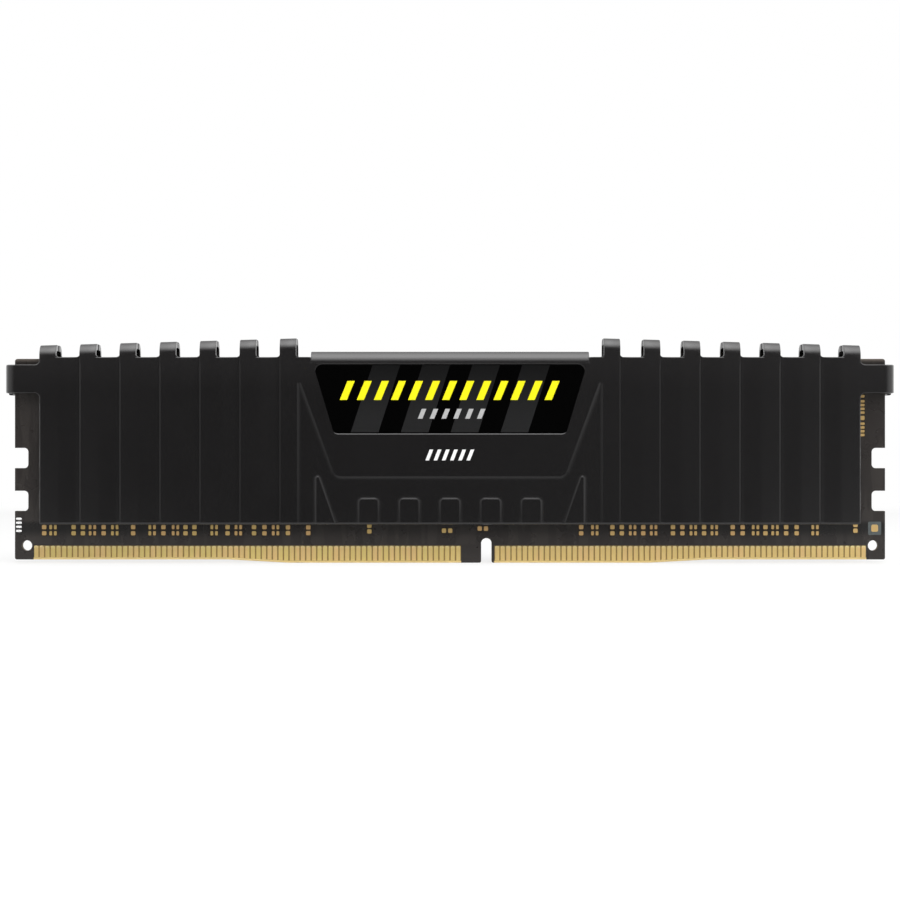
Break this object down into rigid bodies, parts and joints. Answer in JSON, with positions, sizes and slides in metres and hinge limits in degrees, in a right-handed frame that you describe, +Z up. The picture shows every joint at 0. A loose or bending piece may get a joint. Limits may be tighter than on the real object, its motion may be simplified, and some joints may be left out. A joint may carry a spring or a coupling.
{
  "type": "memory module",
  "caption": "Desktop computer memory module: a keyed edge-connector circuit board clad front and back in black ribbed heat spreaders with curled fins along the top.",
  "frame": {"origin": "middle of the board's contact edge, halfway through the board's thickness", "axes": "+X along the module to the right seen from the front, +Y from front to rear, +Z up from the contact edge to the fins"},
  "size_m": [0.1358, 0.007, 0.0343],
  "materials": {
    "board": "black solder mask over glass-epoxy board, gold-plated contacts",
    "spreader": "black anodised, fine satin",
    "pad": "soft grey thermal pad",
    "badge": "gloss black printed film",
    "chip": "matt black moulding compound",
    "resistor": "dark glazed ceramic with tinned ends",
    "capacitor": "brown ceramic with tinned ends"
  },
  "bodies": {
    "root": {"circuit_board": "board", "front_heat_spreader": "spreader", "rear_heat_spreader": "spreader", "front_thermal_pad": "pad", "rear_thermal_pad": "pad", "badge_plate": "badge", "dram_chip_1": "chip", "dram_chip_2": "chip", "dram_chip_3": "chip", "dram_chip_4": "chip", "dram_chip_5": "chip", "dram_chip_6": "chip", "dram_chip_7": "chip", "dram_chip_8": "chip", "spd_memory": "chip", "resistor_array_1": "resistor", "resistor_array_2": "resistor", "resistor_array_3": "resistor", "resistor_array_4": "resistor", "resistor_array_5": "resistor", "resistor_array_6": "resistor", "resistor_array_7": "resistor", "resistor_array_8": "resistor", "resistor_array_9": "resistor", "resistor_array_10": "resistor", "resistor_array_11": "resistor", "resistor_array_12": "resistor", "resistor_array_13": "resistor", "resistor_array_14": "resistor", "resistor_array_15": "resistor", "resistor_array_16": "resistor", "resistor_1": "resistor", "resistor_2": "resistor", "resistor_3": "resistor", "resistor_4": "resistor", "resistor_5": "resistor", "resistor_6": "resistor", "resistor_7": "resistor", "resistor_8": "resistor", "resistor_9": "resistor", "resistor_10": "resistor", "resistor_11": "resistor", "resistor_12": "resistor", "resistor_13": "resistor", "resistor_14": "resistor", "resistor_15": "resistor", "resistor_16": "resistor", "resistor_17": "resistor", "resistor_18": "resistor", "resistor_19": "resistor", "resistor_20": "resistor", "resistor_21": "resistor", "resistor_22": "resistor", "resistor_23": "resistor", "resistor_24": "resistor", "bulk_capacitor_1": "capacitor", "bulk_capacitor_2": "capacitor", "bulk_capacitor_3": "capacitor", "bulk_capacitor_4": "capacitor"}
  },
  "joints": []
}
